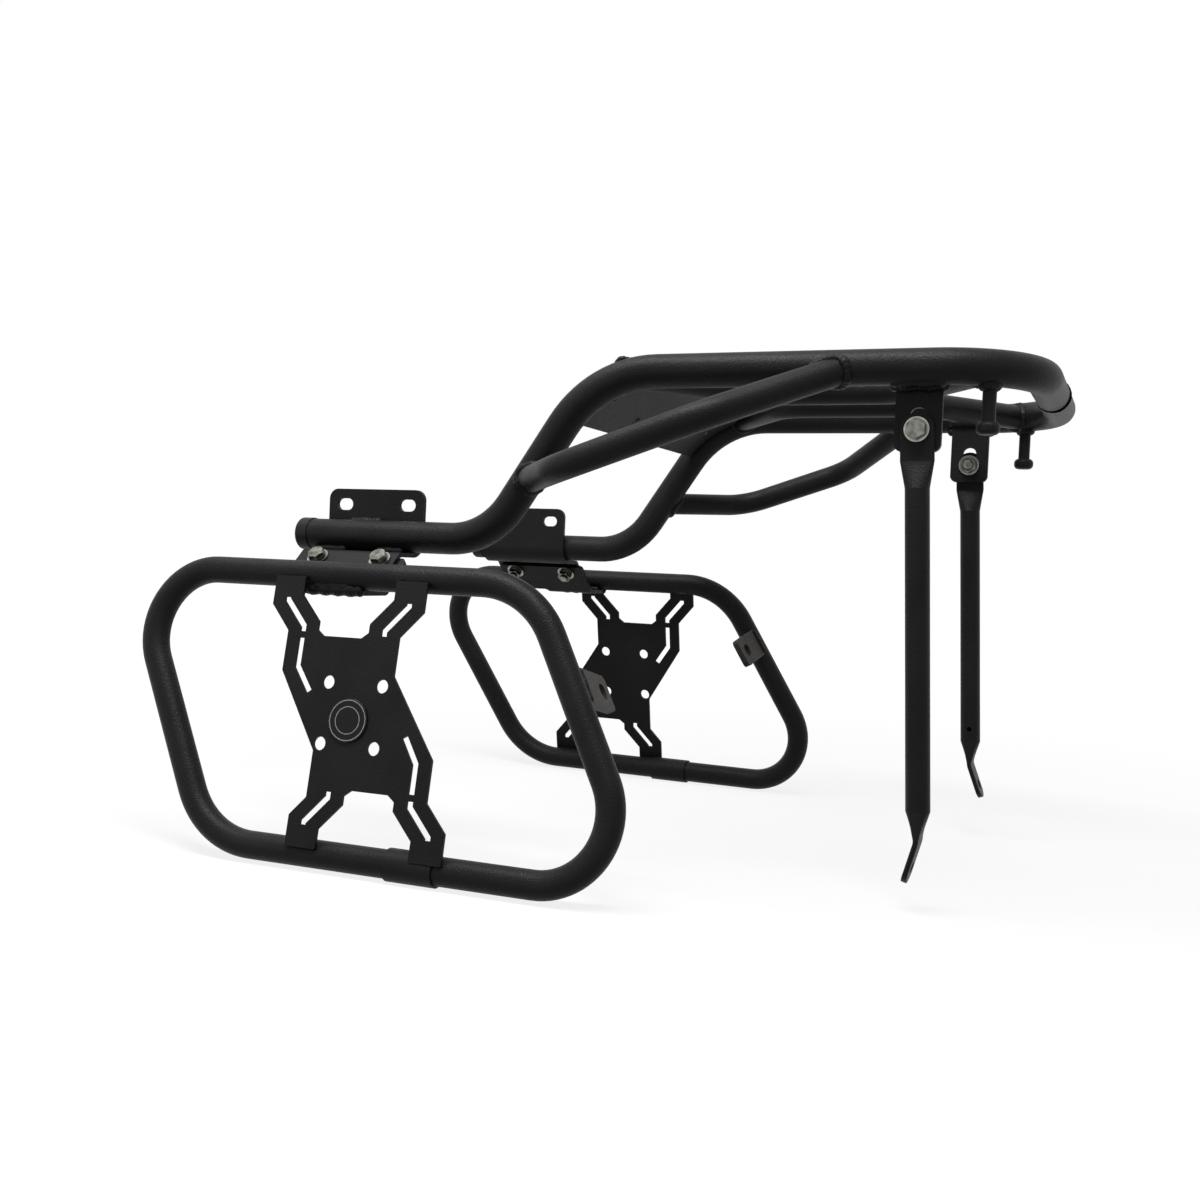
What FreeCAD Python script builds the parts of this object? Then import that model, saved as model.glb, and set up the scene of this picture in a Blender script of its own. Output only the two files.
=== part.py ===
"""Luggage carrier with backrest risers, grab rails and two side frames.

Axes: X to the right of the bike, +Y to the front, +Z up, all in millimetres.
The two side frames stand on Z = 0 and the mirror plane is X = 0.
"""
import FreeCAD, Part
import math
import os

V = FreeCAD.Vector

# Tubes
main_od = 26.9
main_wall = 2.0
frame_od = 22.0
frame_wall = 1.8
grab_od = 22.0
grab_wall = 1.8
rod_od = 18.0
rod_wall = 2.0
fit = 0.05

# Main rails: low rail, riser, top rail, rear hoop
rail_half_front = 160.0
rail_half_rear = 157.0
rack_rise = 137.0
rail_front_y = 258.5
riser_foot_y = 84.4
riser_head_y = -7.0
hoop_y = -341.5
foot_bend_r = 68.0
head_bend_r = 95.0
hoop_bend_r = 72.0
hoop_gap = 0.8
spigot_length = 90.0
spigot_wall = 2.0

# End plugs
plug_head = 12.0
plug_lip = 0.7
plug_round = 2.0
plug_wall = 3.0
plug_web = 2.0
plug_stem = 20.0

# Inner rails of the rack
inner_half = 43.0
inner_drop = 1.0
inner_front_y = -28.0
inner_rear_y = -307.0
inner_bend_front_y = -108.0
inner_bend_rear_y = -232.0
inner_bend_r = 45.0

# Grab rails
grab_half = 240.0
grab_foot_drop = 87.0
grab_low_y = -14.0
grab_low_drop = 82.5
grab_high_y = -122.5
grab_high_drop = 45.0
grab_head_y = -208.0
grab_bend_r = 48.0

# Backrest plate, rolled to the bend at the head of the risers
back_thickness = 3.0
back_notch = 1.0
back_hole_d = 8.5
back_holes = ((123.0, 33.4), (45.0, 41.4))
back_end_deg = 3.0
back_start_deg = 3.0

# Rod tabs and support rods
tab_half = 147.5
tab_thickness = 5.0
tab_y = -260.0
tab_width = 34.0
tab_drop = 61.0
tab_corner_r = 6.0
tab_slot_width = 12.0
tab_slot_run = 10.5
rod_pivot_drop = 45.0
rod_lean_deg = 2.9
rod_flat = 4.0
rod_flat_width = 25.0
rod_top_flat_end = 23.0
rod_top_round_start = 43.0
left_rod_length = 299.0
right_rod_length = 281.0
rod_neck = 20.0
rod_foot_bend_deg = 18.0
rod_foot_bend_r = 12.0
rod_foot_length = 18.0
rod_eye_d = 9.0
drain_d = 4.4
drain_rise = 12.0

# Bungee studs
stud_y = -309.0
stud_d = 10.0
stud_length = 30.0
stud_head_d = 17.0
stud_head_h = 9.5
stud_rim = 0.8

# Mount brackets: plate bent round the low rail, then down to a flange
bracket_y = 205.0
bracket_width = 97.0
bracket_thickness = 4.0
bracket_rise = 41.0
bracket_corner_r = 9.0
bracket_slot_inset = 13.5
bracket_slot_length = 16.5
bracket_slot_width = 10.4
bracket_slot_spacing = 64.0
shelf_overhang = 21.3
shelf_bend_r = 5.0
flange_deg = 42.0
flange_reach = 24.0
flange_bolt_reach = 10.1
flange_bolt_y = 201.6
flange_bolt_spacing = 62.0

# Frame tabs, bolted under the flanges, with a foot welded under the side frame
ftab_rear_y = 150.0
ftab_width = 100.0
ftab_edge = 8.0
ftab_bend_r = 6.0
ftab_corner_r = 5.0
foot_width = 52.0
foot_overhang = 6.0
foot_setback = 3.0

# Side frames: local x to the rear on the left side, y up, z outward
frame_center_y = 132.5
frame_half_length = 188.0
frame_half_height = 109.2
frame_half_shear = 59.0
frame_spread = 80.3
frame_drop = 34.23
frame_camber = 0.201
frame_toe = 0.0303
acute_bend_r = 53.0
obtuse_bend_r = 72.0
butt_gap = 1.5
sleeve_u = -60.0
sleeve_length = 41.0
sleeve_wall = 1.6

# Cross plates: two arms at each end, leaning in to a waisted body
plate_thickness = 2.5
plate_corner_r = 1.0
arm_lap = 4.0
arm_width = 27.2
arm_lean = 18.3
long_arm_u = 77.2
low_long_arm_u = 75.2
short_arm_u = -32.9
low_root_extra = 5.2
knee_inset = 19.6
knee_slant = 8.4
shoulder_inset = 39.8
shoulder_slant = 8.9
notch_inset = 46.8
notch_corner_u = 6.0
notch_corner_w = 4.6
waist_front_w = 29.1
waist_rear_w = 31.0
plate_slot_width = 5.2
slot_end_inset = 17.4
slot_foot = 4.4
side_slot_gap = 5.2
side_slot_length = 22.7
side_slot_end_u = 45.0
side_slot_end_w = 13.9
plate_hole_spacing = 47.8
plate_hole_d = 10.6
plate_hole_u = 4.6
plate_hole_w = -1.3
badge_d = 34.5
badge_h = 1.5
badge_round = 0.6
badge_u = 5.9
badge_w = -5.6
right_plate_shift = 2.0

# Frame lugs, set by hand on each frame
left_lug_w = 33.5
right_lug_w = 47.0
lug_height = 30.0
lug_reach = 59.6
lug_hole_reach = 44.8
lug_thickness = 6.0
lug_offset = 6.0
lug_hole_d = 13.5
lug_corner_r = 5.0

# M8 hardware
bolt_d = 8.0
hex_af = 13.0
head_h = 5.3
nut_h = 6.5
washer_od = 18.5
washer_h = 1.6
hole_play = 0.4
thread_end = 3.0
thread_chamfer = 0.8
hex_crown = 0.9

os.makedirs("parts", exist_ok=True)


def save(name, shape):
    """Write one node as parts/NAME.step."""
    if not shape.isValid():
        raise ValueError("invalid shape " + name)
    shape.exportStep("parts/" + name + ".step")


def mirrored(shape):
    """Copy of a left-hand shape on the right-hand side."""
    return shape.mirror(V(0, 0, 0), V(1, 0, 0))


def group(shapes):
    """Separate solids kept together as one node."""
    return Part.makeCompound(shapes)


def biggest(shape):
    """Largest solid left after a cut."""
    return max(shape.Solids, key=lambda s: s.Volume)


def circle_face(center, axis, radius):
    edge = Part.makeCircle(radius, center, axis)
    return Part.Face(Part.Wire([edge]))


def ring_face(center, axis, r_out, r_in):
    outer = Part.Wire([Part.makeCircle(r_out, center, axis)])
    inner = Part.Wire([Part.makeCircle(r_in, center, axis)])
    return Part.makeFace([outer, inner], "Part::FaceMakerBullseye")


def run_along(points, radii, section):
    """Carry a section along straight runs joined by tangent bends.

    points are the corners of the centreline, radii the bend radius at each inner corner,
    section(point, direction) gives the face at the start of each run.
    """
    solids = []
    start = points[0]
    for i in range(1, len(points)):
        ahead = (points[i] - start).normalize()
        if i == len(points) - 1:
            solids.append(section(start, ahead).extrude(points[i] - start))
            break
        turn = (points[i + 1] - points[i]).normalize()
        angle = ahead.getAngle(turn)
        setback = radii[i - 1] * math.tan(angle / 2)
        bend_in = points[i] - ahead * setback
        if (bend_in - start).Length > 1e-3:
            solids.append(section(start, ahead).extrude(bend_in - start))
        axis = ahead.cross(turn).normalize()
        center = bend_in + axis.cross(ahead) * radii[i - 1]
        solids.append(section(bend_in, ahead).revolve(center, axis, math.degrees(angle)))
        start = points[i] + turn * setback
    if len(solids) == 1:
        return solids[0]
    return solids[0].multiFuse(solids[1:]).removeSplitter().Solids[0]


def tube(points, radii, od, wall):
    return run_along(points, radii, lambda p, d: ring_face(p, d, od / 2, od / 2 - wall))


def bar(points, radii, diameter):
    return run_along(points, radii, lambda p, d: circle_face(p, d, diameter / 2))


def strip(points, radii, across, width, thickness):
    """Sheet of given width, folded along a path; across is the direction of the width."""
    def section(p, d):
        t = d.cross(across).normalize() * (thickness / 2)
        w = across * (width / 2)
        corners = [p - w - t, p + w - t, p + w + t, p - w + t, p - w - t]
        return Part.Face(Part.makePolygon(corners))
    return run_along(points, radii, section)


def hex_prism(af, height):
    r = af / math.sqrt(3)
    pts = [V(r * math.cos(a), r * math.sin(a), 0) for a in [math.radians(60 * k) for k in range(7)]]
    prism = Part.Face(Part.makePolygon(pts)).extrude(V(0, 0, height))
    crown = Part.makeCone(r - hex_crown + height, r - hex_crown, height)
    return prism.common(crown)


def washer():
    ring = Part.makeCylinder(washer_od / 2, washer_h)
    return ring.cut(Part.makeCylinder(bolt_d / 2 + hole_play, washer_h))


def bolt(grip):
    """Hexagon bolt, head above Z = 0, shank down through the grip and the nut."""
    length = grip + nut_h + thread_end
    shank = Part.makeCylinder(bolt_d / 2, length, V(0, 0, -length))
    shank = shank.makeChamfer(thread_chamfer, [shank.Edges[2]])
    return shank.fuse(hex_prism(hex_af, head_h)).removeSplitter()


def nut():
    """Hexagon nut hanging below Z = 0."""
    body = hex_prism(hex_af, nut_h)
    body.rotate(V(0, 0, 0), V(1, 0, 0), 180)
    return body.cut(Part.makeCylinder(bolt_d / 2 + fit, nut_h + 1, V(0, 0, -nut_h - 0.5)))


def placed(shape, origin, x_axis, z_axis):
    """Copy with local x and z turned to the given directions at origin."""
    z = V(z_axis).normalize()
    y = z.cross(x_axis).normalize()
    x = y.cross(z)
    rows = [(x.x, y.x, z.x, origin.x), (x.y, y.y, z.y, origin.y), (x.z, y.z, z.z, origin.z)]
    return shape.transformed(FreeCAD.Matrix(*rows[0], *rows[1], *rows[2], 0, 0, 0, 1))


def slot_cut(points, width, depth):
    """Round-ended slot along a polyline in the local plane, cut through +-depth."""
    tools = []
    for a, b in zip(points, points[1:]):
        a = V(a[0], a[1], -depth)
        b = V(b[0], b[1], -depth)
        side = V(0, 0, 1).cross((b - a).normalize()) * (width / 2)
        tools.append(Part.Face(Part.makePolygon([a - side, b - side, b + side, a + side, a - side])))
    faces = [f.extrude(V(0, 0, 2 * depth)) for f in tools]
    ends = [Part.makeCylinder(width / 2, 2 * depth, V(p[0], p[1], -depth)) for p in points]
    return faces[0].multiFuse(faces[1:] + ends)


def ribbon_cut(points, width, depth):
    """Square-ended slot along a polyline in the local plane with mitred corners, cut through +-depth."""
    pts = [V(x, y, -depth) for x, y in points]
    sides = [V(0, 0, 1).cross((b - a).normalize()) for a, b in zip(pts, pts[1:])]
    mitres = [(a + b) * (1 / (1 + a.dot(b))) for a, b in zip(sides, sides[1:])]
    offsets = [m * (width / 2) for m in [sides[0]] + mitres + [sides[-1]]]
    edge = [p + o for p, o in zip(pts, offsets)]
    edge += [p - o for p, o in reversed(list(zip(pts, offsets)))]
    return Part.Face(Part.makePolygon(edge + edge[:1])).extrude(V(0, 0, 2 * depth))


# Planes and levels that everything hangs on: the side frames stand on the ground, the rails ride above them
outward_n = V(-1, -frame_toe, frame_camber).normalize()
rearward = V(frame_toe, -1, 0).normalize()
upward = outward_n.cross(rearward)
sleeve_r = frame_od / 2 + fit + sleeve_wall
frame_top_half = rail_half_front + frame_spread
frame_top_z = sleeve_r + 2 * frame_half_height * upward.z
frame_top = V(-frame_top_half, frame_center_y + 2 * frame_half_height * upward.y, frame_top_z)
frame_origin = frame_top - upward * frame_half_height
low_rail_z = frame_top_z + frame_drop
top_rail_z = low_rail_z + rack_rise
inner_z = top_rail_z - inner_drop
rod_pivot_z = top_rail_z - rod_pivot_drop


# Main rails
rail_points = [
    V(-rail_half_front, rail_front_y, low_rail_z),
    V(-rail_half_front, riser_foot_y, low_rail_z),
    V(-rail_half_front, riser_head_y, top_rail_z),
    V(-rail_half_rear, hoop_y, top_rail_z),
    V(-hoop_gap / 2, hoop_y, top_rail_z),
]
rail_radii = [foot_bend_r, head_bend_r, hoop_bend_r]
left_rail = tube(rail_points, rail_radii, main_od, main_wall)
left_rail_bar = bar(rail_points, rail_radii, main_od + 2 * fit)
right_rail_bar = mirrored(left_rail_bar)
save("left_main_rail", left_rail)
save("right_main_rail", mirrored(left_rail))

bore_r = main_od / 2 - main_wall
spigot_end = V(-spigot_length / 2, hoop_y, top_rail_z)
spigot = ring_face(spigot_end, V(1, 0, 0), bore_r - fit, bore_r - spigot_wall)
save("hoop_spigot", spigot.extrude(V(spigot_length, 0, 0)))

# End plugs: a cap with a small lip and a hollow stem pressed into the tube
cap = Part.makeCylinder(main_od / 2 + plug_lip, plug_head)
cap = cap.makeFillet(plug_round, [cap.Edges[0]])
stem = Part.makeCylinder(bore_r - fit, plug_stem, V(0, 0, -plug_stem))
stem = stem.cut(Part.makeCylinder(bore_r - plug_wall, plug_stem - plug_web, V(0, 0, -plug_stem)))
plug = cap.fuse(stem).removeSplitter()
left_plug = placed(plug, rail_points[0] + V(0, fit, 0), V(1, 0, 0), V(0, 1, 0))
save("left_end_plug", left_plug)
save("right_end_plug", mirrored(left_plug))


def rail_axis_x(y):
    """Half width of the top rail centreline at y, on its straight run or in the hoop bend."""
    rise = hoop_y + hoop_bend_r - y
    if rise > 0:
        return rail_half_rear - hoop_bend_r + math.sqrt(hoop_bend_r ** 2 - rise ** 2)
    share = (y - hoop_y) / (riser_head_y - hoop_y)
    return rail_half_rear + (rail_half_front - rail_half_rear) * min(share, 1.0)


# Inner rails, flared out at both ends and coped to the main rails
inner_points = [
    V(-rail_axis_x(inner_front_y), inner_front_y, inner_z),
    V(-inner_half, inner_bend_front_y, inner_z),
    V(-inner_half, inner_bend_rear_y, inner_z),
    V(-rail_axis_x(inner_rear_y), inner_rear_y, inner_z),
]
inner_rail = tube(inner_points, [inner_bend_r, inner_bend_r], grab_od, grab_wall)
inner_rail = biggest(inner_rail.cut(left_rail_bar))
save("left_inner_rail", inner_rail)
save("right_inner_rail", mirrored(inner_rail))

# Grab rails, bowed out from riser to top rail
riser_slope = (riser_foot_y - riser_head_y) / (top_rail_z - low_rail_z)
grab_points = [
    V(-rail_half_front, riser_head_y + grab_foot_drop * riser_slope, top_rail_z - grab_foot_drop),
    V(-grab_half, grab_low_y, top_rail_z - grab_low_drop),
    V(-grab_half, grab_high_y, top_rail_z - grab_high_drop),
    V(-rail_axis_x(grab_head_y), grab_head_y, top_rail_z),
]
grab_rail = tube(grab_points, [grab_bend_r, grab_bend_r], grab_od, grab_wall)
grab_rail = biggest(grab_rail.cut(left_rail_bar))
save("left_grab_rail", grab_rail)
save("right_grab_rail", mirrored(grab_rail))

# Backrest plate: the bend between riser and top rail, rolled in sheet
riser_dir = V(0, riser_head_y - riser_foot_y, top_rail_z - low_rail_z).normalize()
head_angle = riser_dir.getAngle(V(0, -1, 0))
head_setback = head_bend_r * math.tan(head_angle / 2)
head_corner = V(0, riser_head_y, top_rail_z)
back_start = head_corner - riser_dir * head_setback
bend_center = V(0, riser_head_y - head_setback, top_rail_z - head_bend_r)
across = V(2 * rail_half_front, 0, 0)
normal = V(0, riser_dir.z, -riser_dir.y) * (back_thickness / 2)
corner = back_start - across / 2
edge = [corner - normal, corner + across - normal, corner + across + normal, corner + normal]
section = Part.Face(Part.makePolygon(edge + edge[:1]))
section.rotate(bend_center, V(1, 0, 0), back_start_deg)
back_deg = math.degrees(head_angle) - back_start_deg - back_end_deg
back = section.revolve(bend_center, V(1, 0, 0), back_deg)
inner_bar = bar(inner_points, [inner_bend_r, inner_bend_r], grab_od + 2 * back_notch)
for tool in (left_rail_bar, right_rail_bar, inner_bar, mirrored(inner_bar)):
    back = biggest(back.cut(tool))
for hole_x, hole_deg in back_holes:
    a = math.radians(hole_deg)
    out = V(0, math.sin(a), math.cos(a))
    for side in (-1, 1):
        at = bend_center + V(side * hole_x, 0, 0) + out * (head_bend_r - 2 * back_thickness)
        back = back.cut(Part.makeCylinder(back_hole_d / 2, 4 * back_thickness, at, out))
save("backrest_plate", back)

# Rod tabs, notched over the top rail
tab_bottom_z = top_rail_z - tab_drop
tab = Part.makeBox(tab_thickness, tab_width, tab_drop)
low_edges = [e for e in tab.Edges if abs(e.BoundBox.ZMax) < 1e-6 and e.BoundBox.YLength < 1e-6]
tab = tab.makeFillet(tab_corner_r, low_edges)
tab.translate(V(-tab_half - tab_thickness / 2, tab_y - tab_width / 2, tab_bottom_z))
tab_slot = slot_cut([(0, rod_pivot_z), (0, rod_pivot_z + tab_slot_run)], tab_slot_width, tab_thickness)
tab_slot = placed(tab_slot, V(-tab_half, tab_y, 0), V(0, -1, 0), V(-1, 0, 0))
tab = min(tab.cut(tab_slot).cut(left_rail_bar).Solids, key=lambda part: part.BoundBox.ZMin)
save("left_rod_tab", tab)
save("right_rod_tab", mirrored(tab))


def flat_wire(z, half_width, half_thick, along_x):
    """Flattened tube section at height z: two lines and two half rounds, from four matched edges."""
    run = half_width - half_thick
    pts = [(run, half_thick), (-run, half_thick), (-run, -half_thick), (run, -half_thick)]
    tips = [(-half_width, 0), (half_width, 0)]
    if not along_x:
        pts = [(-y, x) for x, y in pts]
        tips = [(-y, x) for x, y in tips]
    p = [V(x, y, z) for x, y in pts]
    t = [V(x, y, z) for x, y in tips]
    left = Part.Arc(p[1], t[0], p[2]).toShape()
    right = Part.Arc(p[3], t[1], p[0]).toShape()
    return Part.Wire([Part.makeLine(p[0], p[1]), left, Part.makeLine(p[2], p[3]), right])


def round_wire(z, radius, along_x):
    """Circle at height z split in four arcs that match flat_wire."""
    angles = [45, 135, 225, 315, 405]
    shift = 0 if along_x else 90
    edges = []
    for a, b in zip(angles, angles[1:]):
        pts = [V(radius * math.cos(math.radians(t)), radius * math.sin(math.radians(t)), z)
               for t in (a + shift, (a + b) / 2 + shift, b + shift)]
        edges.append(Part.Arc(pts[0], pts[1], pts[2]).toShape())
    return Part.Wire(edges)


def support_rod(length):
    """Rod about its pivot: tube pressed flat at both ends, the lower flat at right angles and bent."""
    half_w = rod_flat_width / 2
    half_t = rod_flat / 2
    rod_r = rod_od / 2
    round_end = length - rod_neck
    top = Part.Face(flat_wire(-rod_top_flat_end, half_w, half_t, False))
    top = top.extrude(V(0, 0, rod_top_flat_end + half_w))
    keep = Part.makeCylinder(half_w, 2 * rod_flat, V(-rod_flat, 0, 0), V(1, 0, 0))
    shoulder = V(-rod_flat, -half_w, -rod_top_flat_end)
    keep = keep.fuse(Part.makeBox(2 * rod_flat, rod_flat_width, rod_top_flat_end, shoulder))
    top = top.common(keep)
    top_neck = Part.makeLoft([flat_wire(-rod_top_flat_end, half_w, half_t, False),
                              round_wire(-rod_top_round_start, rod_r, False)], True, False)
    body_length = round_end - rod_top_round_start
    body = Part.makeCylinder(rod_r, body_length, V(0, 0, -round_end))
    low_neck = Part.makeLoft([round_wire(-round_end, rod_r, True),
                              flat_wire(-length, half_w, half_t, True)], True, False)
    foot = V(0, 0, -length)
    angle = math.radians(rod_foot_bend_deg)
    foot_dir = V(0, math.sin(angle), -math.cos(angle))
    foot_face = Part.Face(flat_wire(-length, half_w, half_t, True))
    foot_bend = foot_face.revolve(foot + V(0, rod_foot_bend_r, 0), V(1, 0, 0), rod_foot_bend_deg)
    eye_base = foot + V(0, rod_foot_bend_r * (1 - math.cos(angle)), -rod_foot_bend_r * math.sin(angle))
    eye = Part.Face(flat_wire(0, half_w, half_t, True)).extrude(V(0, 0, rod_foot_length + half_w))
    keep = Part.makeCylinder(half_w, 2 * rod_flat, V(0, -rod_flat, rod_foot_length), V(0, 1, 0))
    keep = keep.fuse(Part.makeBox(rod_flat_width, 2 * rod_flat, rod_foot_length, V(-half_w, -rod_flat, 0)))
    eye = eye.common(keep)
    eye_start = V(0, -2 * rod_flat, rod_foot_length)
    eye = eye.cut(Part.makeCylinder(rod_eye_d / 2, 4 * rod_flat, eye_start, V(0, 1, 0)))
    eye = placed(eye, eye_base, V(-1, 0, 0), foot_dir)
    rod = top.multiFuse([top_neck, body, low_neck, foot_bend, eye]).removeSplitter()
    bolt_hole = Part.makeCylinder(bolt_d / 2 + hole_play, 4 * rod_flat, V(-2 * rod_flat, 0, 0), V(1, 0, 0))
    cavity = Part.makeCylinder(rod_r - rod_wall, body_length, V(0, 0, -round_end))
    drain = Part.makeCylinder(drain_d / 2, rod_od, V(0, 0, -round_end + drain_rise), V(1, 0, 0))
    return biggest(rod.cut(bolt_hole).cut(cavity).cut(drain))


# Support rods on the outside of the tabs, the right one turned half round its own axis
lean = math.radians(rod_lean_deg)
rod_up = V(0, math.sin(lean), math.cos(lean))
rod_x = tab_half + tab_thickness / 2 + rod_flat / 2 + fit
left_rod = placed(support_rod(left_rod_length), V(-rod_x, tab_y, rod_pivot_z), V(1, 0, 0), rod_up)
right_rod = placed(support_rod(right_rod_length), V(rod_x, tab_y, rod_pivot_z), V(-1, 0, 0), rod_up)
save("left_support_rod", left_rod)
save("right_support_rod", right_rod)

# Rod bolts, from the outside through washer, rod and tab into washer and nut
rod_stack = tab_thickness + rod_flat + fit
rod_seat = V(-rod_x - rod_flat / 2 - fit, tab_y, rod_pivot_z)
outward = V(-1, 0, 0)
up = V(0, 0, 1)
rod_bolt = placed(bolt(rod_stack + 2 * washer_h), rod_seat + outward * (washer_h + fit), up, outward)
rod_nut = placed(nut(), rod_seat - outward * (rod_stack + washer_h + 3 * fit), up, outward)
rod_washers = [
    placed(washer(), rod_seat, up, outward),
    placed(washer(), rod_seat - outward * (rod_stack + washer_h + 2 * fit), up, outward),
]
save("rod_bolts", group([rod_bolt, mirrored(rod_bolt)]))
save("rod_nuts", group([rod_nut, mirrored(rod_nut)]))
save("rod_washers", group(rod_washers + [mirrored(w) for w in rod_washers]))

# Bungee studs under the hoop bends
stud_x = rail_axis_x(stud_y)
stud = Part.makeCylinder(stud_d / 2, stud_length + main_od / 2, V(0, 0, -stud_length))
knob = Part.makeCylinder(stud_head_d / 2, stud_head_h, V(0, 0, -stud_length - stud_head_h / 2))
knob = knob.makeFillet(stud_head_h / 2 - stud_rim, [knob.Edges[0], knob.Edges[2]])
stud = stud.fuse(knob).removeSplitter()
stud.translate(V(-stud_x, stud_y, top_rail_z - main_od / 2))
stud = min(stud.cut(left_rail_bar).Solids, key=lambda part: part.BoundBox.ZMin)
save("left_bungee_stud", stud)
save("right_bungee_stud", mirrored(stud))

# Mount brackets: upright slotted plate, bent round the low rail to a shelf and down again to the flange
upright_half = rail_half_front - main_od / 2 - bracket_thickness / 2 - fit
wrap_r = main_od / 2 + fit + bracket_thickness / 2
bracket_top_z = low_rail_z + bracket_rise
bracket_slot_z = bracket_top_z - bracket_slot_inset
slope = math.radians(flange_deg)
flange_dir = V(-math.cos(slope), 0, -math.sin(slope))
flange_normal = V(-math.sin(slope), 0, math.cos(slope))
shelf_end = V(-rail_half_front - shelf_overhang, bracket_y, low_rail_z - wrap_r)
flange_end = shelf_end + flange_dir * flange_reach
bracket_path = [
    V(-upright_half, bracket_y, bracket_top_z),
    V(-upright_half, bracket_y, low_rail_z - wrap_r),
    shelf_end,
    flange_end,
]
bracket = strip(bracket_path, [wrap_r, shelf_bend_r], V(0, 1, 0), bracket_width, bracket_thickness)
rounds = []
for e in bracket.Edges:
    box = e.BoundBox
    cross_edge = abs(e.Length - bracket_thickness) < 0.01 and box.YLength < 0.01
    if cross_edge and (box.ZMin > bracket_top_z - 0.01 or box.XMax < flange_end.x + bracket_thickness):
        rounds.append(e)
bracket = bracket.makeFillet(bracket_corner_r, rounds)
hole_depth = 4 * bracket_thickness
flange_hole = Part.makeCylinder(bolt_d / 2 + hole_play, 2 * hole_depth, V(0, 0, -hole_depth))
bolt_foot = shelf_end + flange_dir * flange_bolt_reach + V(0, flange_bolt_y - bracket_y, 0)
bolt_points = [bolt_foot + V(0, side * flange_bolt_spacing / 2, 0) for side in (-1, 1)]
for side in (-1, 1):
    run = (bracket_slot_length - bracket_slot_width) / 2
    mid = side * bracket_slot_spacing / 2
    ends = [(mid - run, bracket_slot_z), (mid + run, bracket_slot_z)]
    cut_tool = slot_cut(ends, bracket_slot_width, bracket_thickness)
    bracket = bracket.cut(placed(cut_tool, V(-upright_half, bracket_y, 0), V(0, -1, 0), V(-1, 0, 0)))
for at in bolt_points:
    bracket = bracket.cut(placed(flange_hole, at, V(0, 1, 0), flange_normal))
save("left_mount_bracket", bracket)
save("right_mount_bracket", mirrored(bracket))


def on_left(shape):
    """Place a shape drawn in the frame plane on the left side frame."""
    return placed(shape, frame_origin, rearward, outward_n)


def on_right(shape):
    """Place the same hand of shape on the right side frame, turned half round the upright axis."""
    origin = V(-frame_origin.x, frame_origin.y, frame_origin.z)
    return placed(shape, origin, V(rearward.x, -rearward.y, 0), V(-outward_n.x, outward_n.y, outward_n.z))


def frame_point(u, w):
    """Point in the frame plane, u to the front and w up."""
    return V(-u, w, 0)


# Side frame tube loop in its own plane, ends meeting inside the sleeve
h = frame_half_height
loop = [
    frame_point(sleeve_u + butt_gap / 2, -h),
    frame_point(frame_half_length - frame_half_shear, -h),
    frame_point(frame_half_length + frame_half_shear, h),
    frame_point(-frame_half_length + frame_half_shear, h),
    frame_point(-frame_half_length - frame_half_shear, -h),
    frame_point(sleeve_u - butt_gap / 2, -h),
]
loop_radii = [obtuse_bend_r, acute_bend_r, obtuse_bend_r, acute_bend_r]
left_frame = on_left(tube(loop, loop_radii, frame_od, frame_wall))
frame_bar = on_left(bar(loop, loop_radii, frame_od + 2 * fit))
save("left_side_frame", left_frame)
save("right_side_frame", mirrored(left_frame))

sleeve_start = frame_point(sleeve_u - sleeve_length / 2, -h)
sleeve = ring_face(sleeve_start, V(-1, 0, 0), sleeve_r, frame_od / 2 + fit)
sleeve = on_left(sleeve.extrude(V(-sleeve_length, 0, 0)))
relief_start = sleeve_start + V(fit, 0, 0)
sleeve_relief = Part.makeCylinder(sleeve_r + fit, sleeve_length + 2 * fit, relief_start, V(-1, 0, 0))
left_relief = on_left(sleeve_relief)
save("left_joint_sleeve", sleeve)
save("right_joint_sleeve", mirrored(sleeve))

# Cross plates: one laser-cut part used on both sides, turned half round, its arms lapping the tubes
arm_end = frame_half_height - arm_lap
half_arm = arm_width / 2
knee_in = arm_end - knee_inset + knee_slant / 2
knee_out = knee_in - knee_slant
shoulder_in = arm_end - shoulder_inset + shoulder_slant / 2
shoulder_out = shoulder_in - shoulder_slant
notch_floor = arm_end - notch_inset
notch_side = notch_floor + notch_corner_w


def plate_half(long_u, short_u, root_extra):
    """Outline of one end of the plate: long arm, notch, short arm with its root, then down the waist."""
    long_root = long_u - arm_lean
    short_root = short_u + arm_lean
    root_edge = short_root - half_arm - root_extra
    root_w = shoulder_out + (knee_out - shoulder_out) * root_extra / arm_lean
    return [
        (long_u + half_arm, knee_out),
        (long_u + half_arm, arm_end),
        (long_u - half_arm, arm_end),
        (long_u - half_arm, knee_in),
        (long_root - half_arm, shoulder_in),
        (long_root - half_arm, notch_side),
        (long_root - half_arm - notch_corner_u, notch_floor),
        (short_root + half_arm + notch_corner_u, notch_floor),
        (short_root + half_arm, notch_side),
        (short_root + half_arm, shoulder_in),
        (short_u + half_arm, knee_in),
        (short_u + half_arm, arm_end),
        (short_u - half_arm, arm_end),
        (short_u - half_arm, knee_out),
        (root_edge, root_w),
        (root_edge, waist_rear_w),
    ]


def waist(long_u):
    """The other edge of the waist, at the root of the far end's long arm."""
    edge = arm_lean - long_u - half_arm
    return [(edge, -waist_front_w), (edge, -shoulder_out)]


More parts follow.
